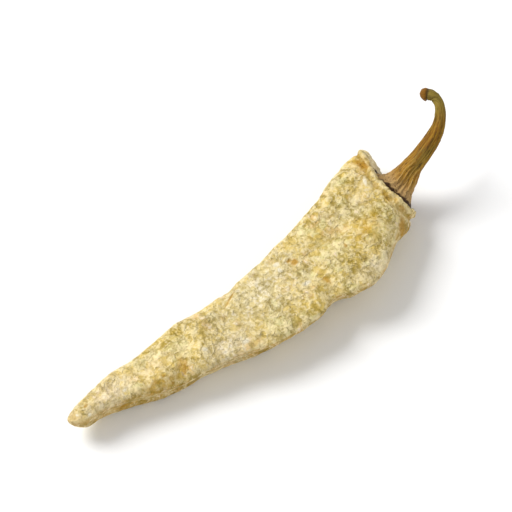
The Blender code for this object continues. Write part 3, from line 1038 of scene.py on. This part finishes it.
def bare_skin(tree, on):
    """Straw with drifting patches, painted shade in its creases and down its flanks, and cream curd and
    painted highlight on its high places and edges.
    """
    flank, ridge = kept(tree, "flank"), kept(tree, "ridge")
    stronger = plus(times(on.busy, 0.55), 0.45)
    curd_and_highlight = times(stronger, rise(on.crumple, 0.65, 0.85))
    layers = (
        (PINK_BEIGE, rise(on.patches, 0.53, 0.62, top=0.6)),
        (GREEN_WHITE, rise(on.greens, 0.50, 0.60, top=0.7)),
        (CREAM, rise(on.creams, 0.50, 0.56, top=0.6)),
        # Painted highlight: a cream band where the top turns into the flank, partly dried curd on the
        # edge
        (CREAM, rise(flank, 0.12, 0.35, top=0.45)),
        # Painted shade: warm ochre down the steep flanks
        (OCHRE, rise(flank, 0.45, 0.95, top=0.85)),
        (KHAKI, rise(on.browns, 0.46, 0.38, top=0.5)),
        # Painted shade: khaki in the low places of the crumple, partly the skin's own olive
        (KHAKI, times(stronger, rise(on.crumple, 0.52, 0.22, top=0.8))),
        # Cream and pinkish white on the high places of the crumple: dried curd, and painted highlight
        (CREAM, curd_and_highlight),
        (PINK_WHITE, times(curd_and_highlight, rise(on.patches, 0.48, 0.56, top=0.9))),
        # Painted highlight: cream on the raised threads. Painted shade: khaki on the sunk threads
        (CREAM, times(on.light, 0.8)),
        (KHAKI, times(on.dark, 0.5)),
        # Painted shade in khaki in the hollows, painted highlight in cream on the high places
        (KHAKI, rise(ridge, -0.02, -0.09, top=0.5)),
        (CREAM, rise(ridge, 0.02, 0.08, top=0.5)),
    )
    return layered(STRAW, layers)


# %% Lay the marks over it
DEEP_YELLOW = (0.60, 0.35, 0.025)
CURD_WHITE = (0.95, 0.87, 0.66)
FLECK_WHITE = (1.0, 0.89, 0.66)
CURD_PALE = (0.85, 0.77, 0.51)


def with_marks(tree, colour, on):
    """The broad patches first, then the small marks, all with uneven edges."""
    paled = kept(tree, "paled")
    ochre = plus(kept(tree, "ochre_marks"), on.uneven)
    pale = plus(kept(tree, "pale_marks"), on.uneven)
    layers = (
        (CURD_PALE, times(paled, 0.42)),
        (PINK_WHITE, times(kept(tree, "pinked"), times(on.blotchy, 0.55))),
        (KHAKI, times(paled, rise(on.speck, 0.46, 0.34, top=0.6))),
        (FLECK_WHITE, times(paled, rise(on.speck, 0.53, 0.63, top=0.75))),
        (KHAKI, times(kept(tree, "olived"), times(on.blotchy, 0.45))),
        (DEEP_YELLOW, times(kept(tree, "yellowed"), times(on.blotchy, 0.85))),
        # The ochre marks: partly the skin's own stain, partly painted shade in the pits and creases
        # they press in
        (OCHRE, rise(ochre, 0.15, 0.75, top=0.9)),
        (CURD_WHITE, rise(pale, 0.2, 0.8, top=0.85)),
    )
    return layered(colour, layers)


# %% Colour the mouth
# Painted shade: the near black put where the seat, the seams and the calyx's foot lie in shade
PAINTED_SHADE_BROWN = (0.045, 0.020, 0.006)


def with_mouth(tree, colour, on):
    """Painted shade in ochre along the groove, painted light in cream on the seat, painted shade over
    the seat's near side, and painted shadow along the seams around the calyx.
    """
    from_crest = kept(tree, "from_crest")
    groove = times(rise(from_crest, 2.3, 1.6), rise(from_crest, 0.9, 1.5))
    seat = rise(plus(from_crest, on.uneven), 0.10, -0.05)
    seam = plus(kept(tree, "seam_shadow"), on.uneven)
    by_calyx = plus(kept(tree, "from_calyx"), on.uneven)
    layers = (
        # Painted shade: ochre along the groove behind the bead
        (OCHRE, times(groove, rise(on.uneven, -0.12, 0.1, top=0.4))),
        # Painted light: cream on the seat's inner wall, which lies in shade
        (CREAM, times(seat, 0.95)),
        # Painted shade over the seat, all but its far side
        (PAINTED_SHADE_BROWN, times(seat, kept(tree, "seat_shade"))),
        # Painted shadow along the line where the far lip folds over the calyx
        (PAINTED_SHADE_BROWN, rise(seam, 0.25, 0.5, top=0.95)),
        # Painted shade in the narrow gap between the lip and the calyx
        (PAINTED_SHADE_BROWN, rise(by_calyx, 0.85, 0.55, top=0.95)),
    )
    return layered(colour, layers)


# %% Mix the skin's material
SKIN_BUMP = 0.30 * MM


def dry_material(name, roughness, shine):
    """A Principled material that is still without its colour."""
    material = bpy.data.materials.new(name)
    material.use_nodes = True
    shader = material.node_tree.nodes["Principled BSDF"]
    shader.inputs["Roughness"].default_value = roughness
    shader.inputs["Specular IOR Level"].default_value = shine
    return material


def finish_material(material, colour, height, depth):
    """Gives the material its colour, and a bump as deep as said."""
    tree = material.node_tree
    shader = tree.nodes["Principled BSDF"]
    bump = new_node(tree, "ShaderNodeBump", {"Height": height, "Strength": 1.0, "Distance": depth})
    feed(shader.inputs["Base Color"], colour)
    feed(shader.inputs["Normal"], bump.outputs["Normal"])
    print(material.name, "has", len(tree.nodes), "nodes")


skin_material = dry_material("dried curd skin", roughness=0.5, shine=0.25)
skin_tree = skin_material.node_tree
patterns = skin_patterns(skin_tree)
skin_colour = with_marks(skin_tree, bare_skin(skin_tree, patterns), patterns)
skin_colour = with_mouth(skin_tree, skin_colour, patterns)
finish_material(skin_material, skin_colour, skin_height(patterns), SKIN_BUMP)
skin.data.materials.append(skin_material)
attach(skin, "root")
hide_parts("pod")


# %% [markdown]
# ## The colours of the stalk
#
# The stalk is dry and woody: reddish brown with darker flecks, olive at the hook where it is still
# green, and greyish pink at the foot with thin pale ribs, partly painted highlight, and painted shade
# in its grooves and hollows. The knob is a broken end, red-brown behind a crease painted dark as
# shade, and a painted shadow darkens the calyx where it goes down into the rim.
#
# A ready wood texture would run straight through a bent stem. The colours here are laid out on
# the straight rod, by a place kept with each vertex before the rod was laid down, so every stripe
# follows the bend.

# %% Colour the wood
# The pattern sizes are in mm of the straight rod, long ones first along it
TAN = (0.32, 0.165, 0.010)
WARM_TAN = (0.50, 0.25, 0.03)
PALE_TAN = (0.62, 0.42, 0.15)
RED_BROWN = (0.22, 0.09, 0.006)
OLIVE = (0.25, 0.205, 0.04)
GREY_PINK = (0.50, 0.33, 0.15)
# Dark bark for the streaks and mottle, and painted shade in the grooves, hollows and knob crease
DARK_BARK_AND_SHADE = (0.055, 0.028, 0.008)


def woody(tree, place, distance, streaks, mottle):
    """Striped wood from greyish pink at the foot to olive at the hook, with painted shade in its
    grooves and hollows and pale rib tops at the foot that are partly painted highlight.
    """
    furrow, ridge = kept(tree, "furrow"), kept(tree, "ridge")
    stripes = clouds(place, (7.0, 0.32, 0.32), seed=1.0, distortion=0.2)
    olives = clouds(place, (6.0, 0.7, 0.7), seed=3.0)
    at_foot = rise(distance, 12.0, 5.0)
    layers = (
        (RED_BROWN, rise(stripes, 0.46, 0.58, top=0.9)),
        (OLIVE, rise(olives, 0.50, 0.62, top=0.5)),
        (WARM_TAN, times(at_foot, 0.5)),
        (OLIVE, rise(distance, 15.0, 20.0, top=0.7)),
        (GREY_PINK, rise(distance, 6.0, 2.8, top=0.8)),
        # Pale rib tops at the foot, partly their own colour and partly painted highlight
        (PALE_TAN, times(at_foot, rise(furrow, 0.45, 0.95, top=0.8))),
        # Painted shade in the grooves between the ribs
        (DARK_BARK_AND_SHADE, rise(furrow, -0.70, -1.05, top=0.55)),
        (DARK_BARK_AND_SHADE, rise(streaks, 0.46, 0.33, top=0.85)),
        (PALE_TAN, rise(streaks, 0.62, 0.72, top=0.5)),
        # Painted shade in the hollows of the bark
        (DARK_BARK_AND_SHADE, rise(ridge, -0.005, -0.045, top=0.7)),
        (DARK_BARK_AND_SHADE, rise(mottle, 0.46, 0.34, top=0.5)),
    )
    return layered(TAN, layers)


# %% Colour the knob and the seam, and finish the stalk
STALK_BUMP = 0.10 * MM


def with_knob_and_seam(tree, colour, place, distance, mottle):
    """A red-brown knob behind a crease painted dark as shade, and painted shade where the calyx meets
    the rim.
    """
    at_knob = plus(distance, times(mottle, 0.5))
    before_crease = rise(at_knob, knob_at - 0.15, knob_at + 0.2)
    crease = times(before_crease, rise(at_knob, knob_at + 0.6, knob_at + 0.3))
    from_rim = plus(kept(tree, "from_rim"), clouds(place, 0.8, seed=4.0))
    layers = (
        (RED_BROWN, rise(at_knob, knob_at + 0.15, knob_at + 0.45, top=0.95)),
        # Painted shade in the crease before the knob
        (DARK_BARK_AND_SHADE, times(crease, 0.8)),
        # Painted shadow on the calyx where it goes down into the rim
        (PAINTED_SHADE_BROWN, rise(from_rim, 2.15, 1.75)),
    )
    return layered(colour, layers)


bark = dry_material("dried stalk", roughness=0.6, shine=0.15)
bark_tree = bark.node_tree
rod_place = kept(bark_tree, "straight", output="Vector")
rod_distance = new_node(bark_tree, "ShaderNodeSeparateXYZ", {"Vector": rod_place}).outputs["X"]
streaks = clouds(rod_place, (4.0, 0.16, 0.16), seed=2.0)
mottle = clouds(rod_place, (1.3, 0.35, 0.35), seed=5.0, detail=4.0)
stalk_colour = woody(bark_tree, rod_place, rod_distance, streaks, mottle)
stalk_colour = with_knob_and_seam(bark_tree, stalk_colour, rod_place, rod_distance, mottle)
finish_material(bark, stalk_colour, streaks, STALK_BUMP)
for piece, node, slot in ((calyx, "calyx", "calyx"), (stem, "stem", "stem")):
    piece.data.materials.clear()
    piece.data.materials.append(bark)
    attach(piece, "root")
    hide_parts(node)


# %% [markdown]
# ## The last measure
#
# The dressed chili has to stay within the solids' box, give or take the small crinkles. The
# solids' box is printed in mm.

# %% Measure and finish
print("solids", [round(v / MM, 2) for c in cad_box for v in c])
